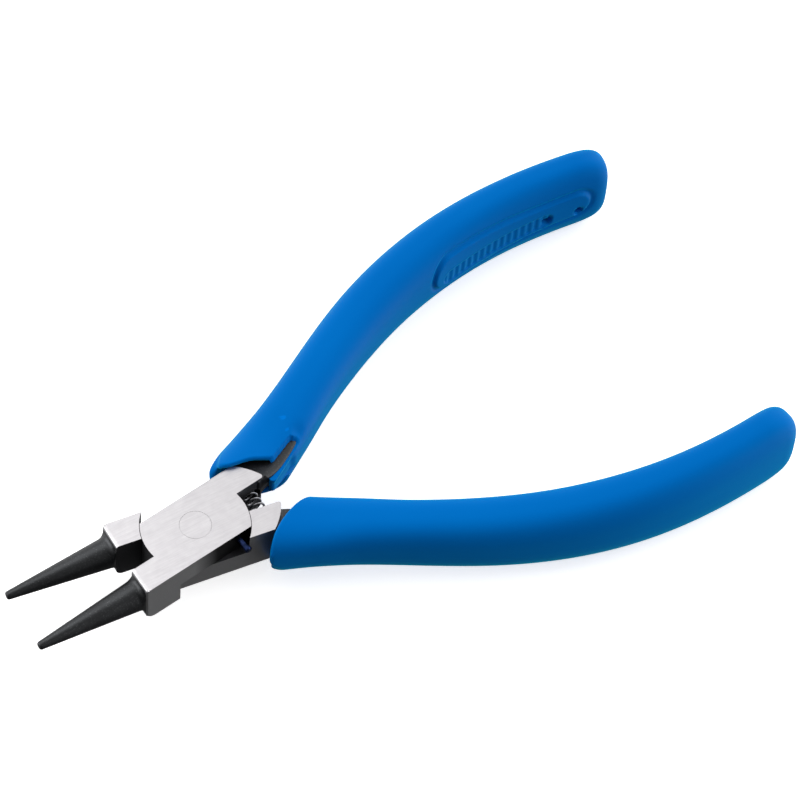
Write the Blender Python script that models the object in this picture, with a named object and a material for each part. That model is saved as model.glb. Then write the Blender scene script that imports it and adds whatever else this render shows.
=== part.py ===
"""Round nose pliers for jewellery work.

Two identical forged levers cross in a lap joint: each lever is half as thick as the joint inside a disc
around the pivot, and full thickness outside it. The lower lever is the upper one turned half a turn
about the long axis. A flush rivet joins them, a coil spring between the tang blocks opens them, a stop
pin limits the opening, and each tang carries a moulded sleeve.

World frame: metres, pivot axis on Z, origin on the pivot axis at the ground underside of the joint,
+X from the jaws to the handles, +Y towards the upper lever's handle.
Lever frame (all levers and sleeves are modelled in it): origin on the pivot axis at mid thickness,
p = X along the lever towards the handle, q = Y across it towards its own handle side.
"""

import math

import bmesh
import bpy
from mathutils import Matrix, Vector

MM = 0.001

# Joint
JOINT_THICKNESS = 8.2 * MM
JOINT_HALF_WIDTH = 5.5 * MM
DISC_RADIUS = 8.85 * MM
ARC_CLEARANCE = 0.1 * MM
LAP_GAP = 0.06 * MM
OPEN_ANGLE = math.radians(7.45)
CLOSE_ANGLE = math.radians(1.0)
RIVET_RADIUS = 2.6 * MM
RIVET_CLEARANCE = 0.04 * MM
RIVET_SIDES = 48
RECESS_SIDES = 96
ARC_STEPS = 10

# Jaw and tang blocks
INNER_FACE = 0.8 * MM
JAW_BLOCK_END = 13.05 * MM
JAW_BLOCK_CHAMFER = 0.5 * MM
TANG_BLOCK_OUTER_END = 11.4 * MM
TANG_BLOCK_INNER_END = 14.2 * MM

# Round jaws: tapered rods whose inner sides meet on the middle plane when the pliers are closed
JAW_TIP_RADIUS = 0.68 * MM
JAW_BASE_RADIUS = 2.63 * MM
JAW_TIP_REACH = 31.4 * MM
JAW_SIDES = 32
JAW_SINK = 0.35 * MM

# Handle centreline in the lever frame, one cubic Bezier, and sleeve half sizes along it
HANDLE_CURVE = [(16.9 * MM, 5.0 * MM), (48.1 * MM, 19.7 * MM), (66.9 * MM, 26.0 * MM), (99.7 * MM, 16.4 * MM)]
SLEEVE_STATIONS = [  # distance along the centreline, outer half width, inner half width, half height
    (-10.0 * MM, 7.3 * MM, 4.7 * MM, 5.7 * MM),
    (-4.0 * MM, 6.5 * MM, 4.7 * MM, 5.3 * MM),
    (2.0 * MM, 5.55 * MM, 4.8 * MM, 4.85 * MM),
    (9.0 * MM, 4.7 * MM, 4.65 * MM, 5.15 * MM),
    (17.5 * MM, 4.35 * MM, 4.35 * MM, 5.6 * MM),
    (35.0 * MM, 4.45 * MM, 4.45 * MM, 6.3 * MM),
    (51.0 * MM, 4.35 * MM, 4.35 * MM, 7.1 * MM),
    (69.0 * MM, 3.8 * MM, 3.8 * MM, 7.85 * MM),
    (87.0 * MM, 3.55 * MM, 3.55 * MM, 7.95 * MM),
]
SLEEVE_EXPONENT = 2.87
SLEEVE_SIDES = 28
SLEEVE_STEP = 4.5 * MM
SLEEVE_END = {"upper": 86.3 * MM, "lower": 83.9 * MM}
END_ROUND_LENGTH = (2.8 * MM, 2.8 * MM, 6.0 * MM)  # outer side, inner side, top and bottom
END_ROUND_DEPTH = (1.4 * MM, 1.4 * MM, 2.8 * MM)
END_ROUND_STEPS = 5

# Sleeve rim, inner notch, pad and vent hole
RIM_CORNERS = [(9.8 * MM, 7.4 * MM), (10.9 * MM, 6.1 * MM), (18.8 * MM, 1.4 * MM), (22.0 * MM, -0.5 * MM)]
NOTCH_START = (-12.0 * MM, 0.8 * MM)  # along and across from the centreline's start
NOTCH_END = (5.9 * MM, -3.3 * MM)
NOTCH_CORNER = 1.1 * MM
NOTCH_FLOOR = 2.9 * MM
PAD_STATIONS = [  # distance along the centreline, centre above mid thickness, half height
    (48.2 * MM, 1.2 * MM, 3.4 * MM),
    (57.0 * MM, 0.7 * MM, 3.0 * MM),
    (66.0 * MM, -0.5 * MM, 2.4 * MM),
    (74.0 * MM, -1.4 * MM, 1.9 * MM),
    (83.0 * MM, -1.9 * MM, 1.5 * MM),
]
PAD_RISE = 0.35 * MM
PAD_EMBED = 0.8 * MM
PAD_EXPONENT = 5.0
PAD_SIDES = 16
PAD_STEPS = 16
VENT_AT = 80.6 * MM
VENT_RADIUS = 0.6 * MM
VENT_DEPTH = 2.4 * MM

# Tang inside the sleeve
TANG_STATIONS = [  # distance along the centreline, half width, half thickness
    (-5.2 * MM, 2.1 * MM, 3.2 * MM),
    (-2.6 * MM, 3.3 * MM, 3.2 * MM),
    (0.0, 4.1 * MM, 3.2 * MM),
    (5.0 * MM, 4.05 * MM, 3.1 * MM),
    (14.0 * MM, 3.0 * MM, 2.9 * MM),
    (40.0 * MM, 2.1 * MM, 2.6 * MM),
    (64.0 * MM, 1.7 * MM, 2.3 * MM),
]
TANG_EXPONENT = 5.0
TANG_SIDES = 20
TANG_STEP = 2.6 * MM
TANG_FIT_GAP = 0.15 * MM

# Return spring between the tang blocks
SPRING_AT = 12.0 * MM
SPRING_X = 11.65 * MM
SPRING_HALF_LENGTH = 4.05 * MM
SPRING_RADIUS = 1.1 * MM
SPRING_WIRE = 0.2 * MM
SPRING_TURNS = 8
SPRING_POINTS = 12
POCKET_RADIUS = 1.75 * MM
POCKET_DEPTH = 2.0 * MM
POCKET_SIDES = 24

# Opening stop pin in the upper lever
PIN_AT = 4.7 * MM
PIN_RADIUS = 0.65 * MM
PIN_REACH = 8.1 * MM
PIN_ROOT = 2.9 * MM
PIN_HEIGHT = JOINT_THICKNESS / 4
PIN_SIDES = 20
PIN_FIT_GAP = 0.03 * MM


# Scene helpers


def clear_scene():
    for obj in list(bpy.data.objects):
        bpy.data.objects.remove(obj)


def new_collection(name):
    collection = bpy.data.collections.new(name)
    bpy.context.scene.collection.children.link(collection)
    return collection


def material(name, color, roughness, metallic):
    made = bpy.data.materials.new(name)
    made.use_nodes = True
    shader = made.node_tree.nodes["Principled BSDF"]
    shader.inputs["Base Color"].default_value = (*color, 1.0)
    shader.inputs["Roughness"].default_value = roughness
    shader.inputs["Metallic"].default_value = metallic
    return made


def add_object(name, mesh, collection):
    obj = bpy.data.objects.new(name, mesh)
    collection.objects.link(obj)
    return obj


def add_cutter(name, mesh):
    obj = add_object(name, mesh, CUTTERS)
    obj.hide_render = True
    obj.display_type = "WIRE"
    return obj


def boolean(obj, operation, mesh):
    """Joins a mesh to the object or cuts it away, both in the object's own frame."""
    other = add_cutter(f"{obj.name} {mesh.name}", mesh)
    other.parent = obj.parent
    modifier = obj.modifiers.new(f"{operation.lower()} {mesh.name}", "BOOLEAN")
    modifier.operation = operation
    modifier.object = other


def realised_mesh(obj, name):
    """The object's evaluated mesh, with its modifiers applied."""
    bpy.context.view_layer.update()
    graph = bpy.context.evaluated_depsgraph_get()
    mesh = bpy.data.meshes.new_from_object(obj.evaluated_get(graph))
    mesh.name = name
    return mesh


def shade(mesh, sharp_angle=math.radians(35)):
    mesh.shade_smooth()
    mesh.set_sharp_from_angle(angle=sharp_angle)


# Shape helpers


def cylinder_mesh(name, radius, low, high, sides, tip_radius=None):
    """A closed cylinder or cone along Z from low to high; tip_radius is its radius at high."""
    tip_radius = radius if tip_radius is None else tip_radius
    work = bmesh.new()
    bmesh.ops.create_cone(
        work, cap_ends=True, segments=sides, radius1=radius, radius2=tip_radius, depth=high - low,
        matrix=Matrix.Translation((0, 0, (low + high) / 2)),
    )
    return finished_mesh(work, name)


def finished_mesh(work, name):
    bmesh.ops.recalc_face_normals(work, faces=work.faces)
    mesh = bpy.data.meshes.new(name)
    work.to_mesh(mesh)
    work.free()
    return mesh


def prism_mesh(name, outline, low, high):
    """A flat outline, a list of (x, y), extruded along Z from low to high."""
    curve = bpy.data.curves.new(f"{name} outline", "CURVE")
    curve.dimensions = "2D"
    curve.fill_mode = "BOTH"
    curve.extrude = (high - low) / 2
    spline = curve.splines.new("POLY")
    spline.points.add(len(outline) - 1)
    for point, (x, y) in zip(spline.points, outline):
        point.co = (x, y, 0, 1)
    spline.use_cyclic_u = True
    guide = add_cutter(f"{name} guide", curve)
    mesh = realised_mesh(guide, name)
    bpy.data.objects.remove(guide)
    work = bmesh.new()
    work.from_mesh(mesh)
    bmesh.ops.remove_doubles(work, verts=work.verts, dist=1e-6)
    bmesh.ops.translate(work, verts=work.verts, vec=(0, 0, (low + high) / 2))
    return finished_mesh(work, name)


def arc(radius, start, end, steps=ARC_STEPS):
    """Points on a circle about the pivot, from angle start to angle end."""
    angles = [start + (end - start) * i / steps for i in range(steps + 1)]
    return [(radius * math.cos(a), radius * math.sin(a)) for a in angles]


def interpolate(stations, distance):
    """The sizes at a distance, on smooth curves through the stations."""
    last = len(stations) - 1
    index = max(i for i in range(last) if i == 0 or stations[i][0] <= distance)
    low, high = stations[index], stations[index + 1]
    before, after = stations[max(index - 1, 0)], stations[min(index + 2, last)]
    span = high[0] - low[0]
    t = (distance - low[0]) / span
    sizes = []
    for k in range(1, len(low)):
        slope_low = (high[k] - before[k]) / (high[0] - before[0])
        slope_high = (after[k] - low[k]) / (after[0] - low[0])
        sizes.append(
            (2 * t**3 - 3 * t**2 + 1) * low[k]
            + (t**3 - 2 * t**2 + t) * span * slope_low
            + (3 * t**2 - 2 * t**3) * high[k]
            + (t**3 - t**2) * span * slope_high
        )
    return sizes


class Centreline:
    """The handle's cubic Bezier by distance, with straight ends before and after it."""

    STEPS = 200

    def __init__(self, points):
        self.points = [Vector(point) for point in points]
        samples = [self.at_parameter(i / self.STEPS)[0] for i in range(self.STEPS + 1)]
        self.distances = [0.0]
        for before, after in zip(samples, samples[1:]):
            self.distances.append(self.distances[-1] + (after - before).length)

    def at_parameter(self, t):
        a, b, c, d = self.points
        place = (1 - t) ** 3 * a + 3 * (1 - t) ** 2 * t * b + 3 * (1 - t) * t**2 * c + t**3 * d
        along = 3 * ((1 - t) ** 2 * (b - a) + 2 * (1 - t) * t * (c - b) + t**2 * (d - c))
        return place, along.normalized()

    def at(self, distance):
        """Place, direction and leftward normal at a distance along the line."""
        inside = min(max(distance, 0.0), self.distances[-1])
        index = next(i for i in range(1, self.STEPS + 1) if self.distances[i] >= inside)
        low, high = self.distances[index - 1], self.distances[index]
        t = (index - 1 + (inside - low) / (high - low)) / self.STEPS
        place, along = self.at_parameter(t)
        return place + along * (distance - inside), along, Vector((-along.y, along.x))


def superellipse(left, right, half_height, exponent, sides):
    """A ring of (across, up) with its own half width on the left side and on the right."""
    ring = []
    for i in range(sides):
        angle = 2 * math.pi * (i + 0.5) / sides
        c, s = math.cos(angle), math.sin(angle)
        across = abs(c) ** (2 / exponent) * (left if c > 0 else -right)
        up = math.copysign(abs(s) ** (2 / exponent), s) * half_height
        ring.append((across, up))
    return ring


def loft_mesh(name, rings):
    """A closed body through rings of equal point counts, capped flat at both ends."""
    work = bmesh.new()
    made = [[work.verts.new(point) for point in ring] for ring in rings]
    for low, high in zip(made, made[1:]):
        for i in range(len(low)):
            j = (i + 1) % len(low)
            work.faces.new((low[i], low[j], high[j], high[i]))
    work.faces.new(made[0])
    work.faces.new(made[-1])
    return finished_mesh(work, name)


def swept_ring(distance, section, across=0.0, up=0.0):
    """A section, a list of (across, up), set square to the handle's centreline, and moved across and up."""
    place, _, left = HANDLE.at(distance)
    return [(*(place + left * (across + x)), up + y) for x, y in section]


def steps_between(low, high, step):
    count = max(1, round((high - low) / step))
    return [low + (high - low) * i / count for i in range(count + 1)]


# Levers


def block_outline():
    """Plan of the ground joint body: jaw block, disc and tang block in one outline."""
    half, radius, inner = JOINT_HALF_WIDTH, DISC_RADIUS, INNER_FACE
    inner_angle = math.asin(inner / radius)
    edge_angle = math.asin(half / radius)
    front = -JAW_BLOCK_END
    return [
        (front + JAW_BLOCK_CHAMFER, -half),
        (front, -half + JAW_BLOCK_CHAMFER),
        (front, -inner),
        *arc(radius, math.pi + inner_angle, math.pi - edge_angle),
        (TANG_BLOCK_OUTER_END, half),
        (TANG_BLOCK_INNER_END, inner),
        *arc(radius, inner_angle, -edge_angle),
    ]


def jaw_mesh():
    """A tapered rod whose inner side lies on the middle plane when the pliers are closed."""
    slant = math.atan((JAW_BASE_RADIUS - JAW_TIP_RADIUS) / (JAW_TIP_REACH - JAW_BLOCK_END))
    heading = slant - CLOSE_ANGLE
    length = (JAW_TIP_REACH - JAW_BLOCK_END) / math.cos(heading)
    root_radius = JAW_BASE_RADIUS + JAW_SINK * math.tan(slant)
    mesh = cylinder_mesh("jaw", root_radius, -JAW_SINK, length, JAW_SIDES, JAW_TIP_RADIUS)
    inner_side = Vector((-JAW_BLOCK_END, -JAW_BLOCK_END * math.tan(CLOSE_ANGLE), 0))
    base = inner_side - JAW_BASE_RADIUS * Vector((math.sin(heading), math.cos(heading), 0))
    towards_tip = Vector((-math.cos(heading), math.sin(heading), 0))
    mesh.transform(Matrix.Translation(base) @ towards_tip.to_track_quat("Z", "Y").to_matrix().to_4x4())
    return mesh


def tang_mesh(name, gap=0.0):
    """The tang as a tapered bar on the handle's centreline, grown by a gap all round."""
    low, high = TANG_STATIONS[0][0], TANG_STATIONS[-1][0]
    rings = []
    for distance in steps_between(low, high + gap, TANG_STEP):
        width, height = interpolate(TANG_STATIONS, distance)
        section = superellipse(width + gap, width + gap, height + gap, TANG_EXPONENT, TANG_SIDES)
        rings.append(swept_ring(distance, section))
    return loft_mesh(name, rings)


def across_lever(mesh, p, q):
    """Stands a mesh made along Z on its side, so that its Z runs along q from the point (p, q)."""
    mesh.transform(Matrix.Translation((p, q, 0)) @ Matrix.Rotation(-math.pi / 2, 4, "X"))
    return mesh


def lever_mesh():
    low, high = -JOINT_THICKNESS / 2, JOINT_THICKNESS / 2
    lever = add_cutter("lever", prism_mesh("block", block_outline(), low, high))
    recess_radius = DISC_RADIUS + ARC_CLEARANCE
    boolean(lever, "UNION", jaw_mesh())
    boolean(lever, "UNION", tang_mesh("tang"))
    boolean(lever, "DIFFERENCE", cylinder_mesh("recess", recess_radius, low - MM, LAP_GAP / 2, RECESS_SIDES))
    bore_radius = RIVET_RADIUS + RIVET_CLEARANCE
    boolean(lever, "DIFFERENCE", cylinder_mesh("bore", bore_radius, low - MM, high + MM, RIVET_SIDES))
    pocket = cylinder_mesh("pocket", POCKET_RADIUS, -MM, POCKET_DEPTH, POCKET_SIDES)
    boolean(lever, "DIFFERENCE", across_lever(pocket, SPRING_AT, INNER_FACE))
    mesh = realised_mesh(lever, "lever")
    bpy.data.objects.remove(lever)
    shade(mesh)
    return mesh


def pin_mesh(name, gap=0.0):
    """The stop pin, or its hole when grown by a gap; it runs across the lever, out of its jaw side."""
    mesh = cylinder_mesh(name, PIN_RADIUS + gap, -PIN_REACH, -PIN_ROOT + gap, PIN_SIDES)
    across_lever(mesh, PIN_AT, 0)
    mesh.transform(Matrix.Translation((0, 0, PIN_HEIGHT)))
    shade(mesh)
    return mesh


# Sleeves


def sleeve_rings(end):
    """Sections from the front to the rounded end."""
    start, round_length = SLEEVE_STATIONS[0][0], max(END_ROUND_LENGTH)
    distances = steps_between(start, end - round_length, SLEEVE_STEP)
    for i in range(1, END_ROUND_STEPS + 1):
        distances.append(end - round_length * (1 - math.sin(math.pi / 2 * i / END_ROUND_STEPS)))
    rings = []
    for distance in distances:
        sizes = interpolate(SLEEVE_STATIONS, distance)
        for k, (length, depth) in enumerate(zip(END_ROUND_LENGTH, END_ROUND_DEPTH)):
            into = max(0.0, 1 - (end - distance) / length)
            sizes[k] -= depth * (1 - math.sqrt(1 - into**2))
        rings.append(swept_ring(distance, superellipse(*sizes, SLEEVE_EXPONENT, SLEEVE_SIDES)))
    return rings


def pad_mesh():
    """A low pad with rounded ends on the sleeve's inner side, narrowing and dropping towards its far end."""
    low, high = PAD_STATIONS[0][0], PAD_STATIONS[-1][0]
    half = (PAD_RISE + PAD_EMBED) / 2
    rings = []
    for i in range(PAD_STEPS):
        distance = (low + high) / 2 - (high - low) / 2 * math.cos(math.pi * (i + 0.5) / PAD_STEPS)
        centre, height = interpolate(PAD_STATIONS, distance)
        into_end = max(0.0, height - min(distance - low, high - distance))
        section = superellipse(half, half, math.sqrt(height**2 - into_end**2), PAD_EXPONENT, PAD_SIDES)
        width = interpolate(SLEEVE_STATIONS, distance)[1]
        rings.append(swept_ring(distance, section, PAD_EMBED - half - width, centre))
    return loft_mesh("pad", rings)


def on_inner_side(mesh, distance, depth):
    """Turns a mesh made in (along, up, outward) to stand at a depth left of the handle's centreline."""
    place, along, left = HANDLE.at(distance)
    frame = Matrix(((along.x, 0, -left.x, place.x + left.x * depth),
                    (along.y, 0, -left.y, place.y + left.y * depth),
                    (0, 1, 0, 0),
                    (0, 0, 0, 1)))
    mesh.transform(frame)
    return mesh


def rim_cutter():
    """Everything in front of the sleeve's slanted rim."""
    far = 20 * MM
    (front, _), (last, _) = RIM_CORNERS[0], RIM_CORNERS[-1]
    outline = [(-far, far), (front, far), *RIM_CORNERS, (last, -far), (-far, -far)]
    return prism_mesh("rim", outline, -far, far)


def notch_cutter():
    """The round-cornered notch along the upper inner edge, open at the rim, that shows the tang."""
    far = 20 * MM
    (start, start_edge), (end, end_edge) = NOTCH_START, NOTCH_END
    middle = (end - NOTCH_CORNER, end_edge - NOTCH_CORNER)
    angles = [math.pi / 2 * (1 - i / ARC_STEPS) for i in range(ARC_STEPS + 1)]
    outline = [(middle[0] + NOTCH_CORNER * math.cos(a), middle[1] + NOTCH_CORNER * math.sin(a)) for a in angles]
    mesh = prism_mesh("notch", outline + [(end, -far), (start, -far), (start, start_edge)], NOTCH_FLOOR, far)
    place, along, _ = HANDLE.at(0.0)
    turn = Matrix.Rotation(math.atan2(along.y, along.x), 4, "Z")
    mesh.transform(Matrix.Translation((*place, 0)) @ turn)
    return mesh


def vent_cutter():
    """A blind hole into the pad near the sleeve's end."""
    mesh = cylinder_mesh("vent", VENT_RADIUS, -VENT_DEPTH, MM, POCKET_SIDES)
    mesh.transform(Matrix.Translation((0, interpolate(PAD_STATIONS, VENT_AT)[0], 0)))
    return on_inner_side(mesh, VENT_AT, -interpolate(SLEEVE_STATIONS, VENT_AT)[1])


def sleeve_mesh(end):
    sleeve = add_cutter("sleeve", loft_mesh("sleeve", sleeve_rings(end)))
    boolean(sleeve, "UNION", pad_mesh())
    boolean(sleeve, "DIFFERENCE", rim_cutter())
    boolean(sleeve, "DIFFERENCE", tang_mesh("cavity", TANG_FIT_GAP))
    boolean(sleeve, "DIFFERENCE", notch_cutter())
    boolean(sleeve, "DIFFERENCE", vent_cutter())
    mesh = realised_mesh(sleeve, "sleeve")
    bpy.data.objects.remove(sleeve)
    shade(mesh)
    return mesh


# Loose pieces


def spring_curve():
    """A compression spring along Y with one closed turn at each end."""
    curve = bpy.data.curves.new("return spring", "CURVE")
    curve.dimensions = "3D"
    curve.bevel_depth = SPRING_WIRE
    curve.bevel_resolution = 2
    curve.use_fill_caps = True
    count = SPRING_TURNS * SPRING_POINTS
    spline = curve.splines.new("POLY")
    spline.points.add(count)
    closed_pitch = 2.1 * SPRING_WIRE
    half = SPRING_HALF_LENGTH - SPRING_WIRE
    for i, point in enumerate(spline.points):
        turn = i / SPRING_POINTS
        middle = (turn - 1) / (SPRING_TURNS - 2)
        y = -half + closed_pitch + middle * 2 * (half - closed_pitch)
        if turn < 1:
            y = -half + closed_pitch * turn
        elif turn > SPRING_TURNS - 1:
            y = half - closed_pitch * (SPRING_TURNS - turn)
        angle = 2 * math.pi * turn
        point.co = (SPRING_RADIUS * math.cos(angle), y, SPRING_RADIUS * math.sin(angle), 1)
    return curve


def body_frame(name, turned_over):
    """An empty on the pivot axis at mid thickness, which stands for one lever's frame."""
    empty = add_object(name, None, PLIERS)
    empty.location = (0, 0, JOINT_THICKNESS / 2)
    empty.rotation_euler = (math.pi, 0, -OPEN_ANGLE) if turned_over else (0, 0, OPEN_ANGLE)
    return empty


def add_piece(name, data, look, frame):
    piece = add_object(name, data, PLIERS)
    piece.parent = frame
    data.materials.append(look)
    return piece


def build_pliers():
    steel = material("ground_steel", (0.60, 0.59, 0.60), 0.38, 1.0)
    rivet_steel = material("rivet_steel", (0.58, 0.57, 0.58), 0.36, 1.0)
    spring_steel = material("spring_steel", (0.45, 0.45, 0.47), 0.3, 1.0)
    blued_steel = material("blued_steel", (0.05, 0.07, 0.16), 0.3, 1.0)
    plastic = material("blue_plastic", (0.0, 0.14, 0.46), 0.42, 0.0)

    upper = body_frame("upper_lever_frame", turned_over=False)
    lower = body_frame("lower_lever_frame", turned_over=True)
    lever = lever_mesh()
    add_piece("lever_lower", lever.copy(), steel, lower)
    lever_upper = add_piece("lever_upper", lever, steel, upper)
    boolean(lever_upper, "DIFFERENCE", pin_mesh("pin hole", PIN_FIT_GAP))
    add_piece("stop_pin", pin_mesh("stop pin"), blued_steel, upper)
    add_piece("grip_upper", sleeve_mesh(SLEEVE_END["upper"]), plastic, upper)
    add_piece("grip_lower", sleeve_mesh(SLEEVE_END["lower"]), plastic, lower)

    half = JOINT_THICKNESS / 2
    rivet = cylinder_mesh("pivot rivet", RIVET_RADIUS, -half, half, RIVET_SIDES)
    shade(rivet)
    add_piece("pivot_rivet", rivet, rivet_steel, lower)
    spring = add_piece("return_spring", spring_curve(), spring_steel, None)
    spring.location = (SPRING_X, 0, half)


clear_scene()
CUTTERS = new_collection("cutters")
PLIERS = new_collection("round_nose_pliers")
HANDLE = Centreline(HANDLE_CURVE)
build_pliers()
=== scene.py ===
"""Looks of the round nose pliers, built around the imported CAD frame.

Everything is in metres in the frame of the CAD part: pivot axis on Z, +X from the jaws to the handles, +Y towards
the upper lever's handle. Levers and sleeves are modelled in the lever frame (p, q, z about mid thickness, q towards
the lever's own handle side) and then placed by one matrix for each body.
"""

import math

import bmesh
import bpy
import numpy as np
from mathutils import Matrix, Vector


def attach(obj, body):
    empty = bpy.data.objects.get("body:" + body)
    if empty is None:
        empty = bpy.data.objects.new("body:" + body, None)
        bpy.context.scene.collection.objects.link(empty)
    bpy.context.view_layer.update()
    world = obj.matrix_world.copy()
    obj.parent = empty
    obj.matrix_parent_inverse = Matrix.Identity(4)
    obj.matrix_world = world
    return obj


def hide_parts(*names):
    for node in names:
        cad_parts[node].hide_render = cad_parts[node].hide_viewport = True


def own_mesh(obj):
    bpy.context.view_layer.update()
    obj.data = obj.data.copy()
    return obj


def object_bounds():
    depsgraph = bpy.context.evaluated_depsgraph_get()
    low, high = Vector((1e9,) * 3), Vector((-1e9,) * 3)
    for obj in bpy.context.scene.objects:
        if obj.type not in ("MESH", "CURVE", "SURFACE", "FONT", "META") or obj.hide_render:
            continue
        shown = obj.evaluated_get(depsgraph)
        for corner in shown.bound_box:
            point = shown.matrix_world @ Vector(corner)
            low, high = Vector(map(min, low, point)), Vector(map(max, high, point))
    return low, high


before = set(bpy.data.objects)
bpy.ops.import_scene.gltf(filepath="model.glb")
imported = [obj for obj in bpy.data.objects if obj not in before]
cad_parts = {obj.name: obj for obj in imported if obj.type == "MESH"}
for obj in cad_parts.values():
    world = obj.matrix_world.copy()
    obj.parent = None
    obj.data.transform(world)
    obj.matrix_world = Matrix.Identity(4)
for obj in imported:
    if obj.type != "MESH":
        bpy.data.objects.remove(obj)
CAD_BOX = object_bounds()

MM = 0.001

# Joint and levers, close to the CAD part's
THICKNESS = 8.2 * MM
MID = THICKNESS / 2
HALF_WIDTH = 5.5 * MM
DISC_RADIUS = 8.85 * MM
ARC_CLEARANCE = 0.1 * MM
LAP_GAP = 0.06 * MM
OPEN_ANGLE = math.radians(7.45)
CLOSE_ANGLE = math.radians(1.0)
INNER_FACE = 0.8 * MM
JAW_BLOCK_END = 13.2 * MM
JAW_BLOCK_SKEW = -0.5 * MM
JAW_BLOCK_CORNER = 0.25 * MM
JAW_BLOCK_ROUND = {"top": 0.55 * MM, "bottom": 1.25 * MM}
JAW_BLOCK_ROUND_STEPS = 7
TANG_BLOCK_OUTER_END = 11.4 * MM
TANG_BLOCK_INNER_END = 14.25 * MM
TANG_BLOCK_CORNER = 0.45 * MM
TANG_BLOCK_STEM = 0.1 * MM
TANG_BLOCK_BULGE = 0.25 * MM
TANG_BLOCK_STEPS = 12
EDGE_BREAK = 0.09 * MM
EDGE_BREAK_ANGLE = math.radians(32)
ARC_STEPS = 40
NOTCH_STEPS = 10
CORNER_STEPS = 6
CUTTER_SIDES = 192
NEAR = 0.01 * MM

# Where the look of a lever's faces changes
# The look beside the stop pin is gunmetal painted darker to black, a painted shade; the lap look is black oxide
# painted near black as shade.
LEVER_LOOKS = ("ground", "gunmetal", "oxide", "lap", "pin_painted_shade")
FLAT_NORMAL = 0.999
FRONT_EDGE_NORMAL = 0.6
FRONT_EDGE_DEPTH = 1.3 * MM
FRONT_EDGE_HEIGHT = 3.4 * MM
JAW_LOOK_START = 0.03 * MM
FRONT_FACE_DEPTH = 0.5 * MM
SIDE_MARGIN = 0.1 * MM
TANG_LOOK_START = 0.6 * MM

# Round jaws, each grown from a squarish root on the block's front plane
JAW_TIP_RADIUS = 0.68 * MM
JAW_BASE_RADIUS = 2.63 * MM
JAW_TIP_REACH = 31.4 * MM
JAW_TIP_ROUND = 0.28 * MM
JAW_TIP_STEPS = 6
JAW_SIDES = 96
JAW_STEPS = 60
JAW_ROOT_EXPONENT = 12.0
JAW_ROOT_INSET = 0.1 * MM
JAW_ROOT_MARGIN = 0.08 * MM
JAW_ROOT_ROWS = ((0.3 * MM, 0.9), (0.01 * MM, 1.0))  # depth in the block, share of the root's size
COVE = 1.0 * MM
COVE_STEPS = 14

# Tang
TANG_STATIONS = np.array([  # distance, outer half width, inner half width, half thickness
    (-5.2, 2.1, 2.5, 3.75), (-4.0, 2.8, 3.1, 3.6), (-2.6, 3.4, 3.7, 3.35), (0.0, 4.0, 4.2, 3.25),
    (5.0, 3.6, 4.2, 3.2), (14.0, 3.0, 3.0, 2.9), (40.0, 2.1, 2.1, 2.6), (64.0, 1.7, 1.7, 2.3)]) * MM
TANG_ROWS = np.concatenate([np.linspace(-5.2, 8, 40), np.linspace(9, 60, 35)]) * MM
TANG_SIDES = 64
TANG_EXPONENT = 12.0
TANG_HOLLOW = 0.48
TANG_HOLLOW_TOP = 0.4
TANG_HOLLOW_RAMP = 0.8
TANG_HOLLOW_END = 2 * MM
TANG_HOLLOW_FADE = 4 * MM

# Handle centreline and sleeve sizes, close to the CAD part's
HANDLE_CURVE = np.array([(16.9, 5.0), (48.1, 19.7), (66.9, 26.0), (99.7, 16.4)]) * MM
SLEEVE_STATIONS = np.array([  # distance, outer half width, inner half width, half height
    (-10.0, 7.3, 4.7, 5.7), (-4.0, 6.5, 4.7, 5.3), (2.0, 5.55, 4.9, 4.85), (9.0, 4.6, 4.85, 5.15),
    (17.5, 4.25, 4.5, 5.6), (35.0, 4.55, 4.45, 6.3), (51.0, 4.35, 4.35, 7.1), (69.0, 3.8, 3.8, 7.85),
    (87.0, 3.55, 3.55, 7.90)]) * MM
SLEEVE_EXPONENT = 2.87
SLEEVE_END = {"upper": 86.3 * MM, "lower": 83.9 * MM}
END_ROUND_LENGTH = np.array([2.8, 2.8, 6.0]) * MM
END_ROUND_DEPTH = np.array([1.4, 1.4, 2.8]) * MM
END_LIP = 0.7 * MM
END_LIP_REACH = 0.35 * END_LIP
END_LIP_SPAN = 2.6 * MM
END_LIP_STEPS = 7
END_CAP_SCALES = (0.6, 0.4, 0.2, 0.05)

# Rows along a sleeve: slanted ones that turn square behind the mouth, plain ones, and fine ones at the pad
SLANTED_ROWS = 44
SQUARE_FROM = 12.0 * MM
PLAIN_ROWS = np.arange(12.8, 45.5, 0.8) * MM
FINE_FROM = 46.0 * MM
FINE_PITCH = 0.22 * MM
END_ROWS = 25

# Points round a sleeve, spaced in millimetres on a section of usual half sizes
SECTION_HALF = (4.4, 6.0)
SECTION_SAMPLES = 20001
PLAIN_SPACING = 0.42
INNER_SPACING, INNER_FROM = 0.2, -3.4
EDGE_SPACING, EDGE_FROM = 0.14, (-0.4, 3.0)

# Sleeve mouth: a slanted rim, set back above, with a nose swept back on the outer side, a lobe that reaches forward
# beside it, and a short tongue on the inner side
RIM_OFFSET = -2.95 * MM
RIM_SLOPE = -0.61
RIM_CURVE = 0.033 / MM
RIM_GUESS = -2.6 * MM
RIM_ROUNDS = 8
SLOT_SETBACK = {"upper": 0.6 * MM, "lower": 0.0}
NOSE_SWEEP = {"upper": 3.6 * MM, "lower": 2.6 * MM}
NOSE_SWEEP_HEIGHT = 4.5 * MM
NOSE_FROM = 4.7 * MM
NOSE_RAMP = 1.7 * MM
LOBE_REACH = {"upper": 1.7 * MM, "lower": 0.0}
LOBE_RAMP = 3.5 * MM
LOBE_TO = 5.8 * MM
LOBE_TO_RAMP = 1.6 * MM
TONGUE_AT = -3.5 * MM
TONGUE_BOTTOM = {"upper": -0.5 * MM, "lower": 1.4 * MM}
TONGUE_BOTTOM_RAMP = 0.5 * MM
TONGUE_SIDE = -2.4 * MM
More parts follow.
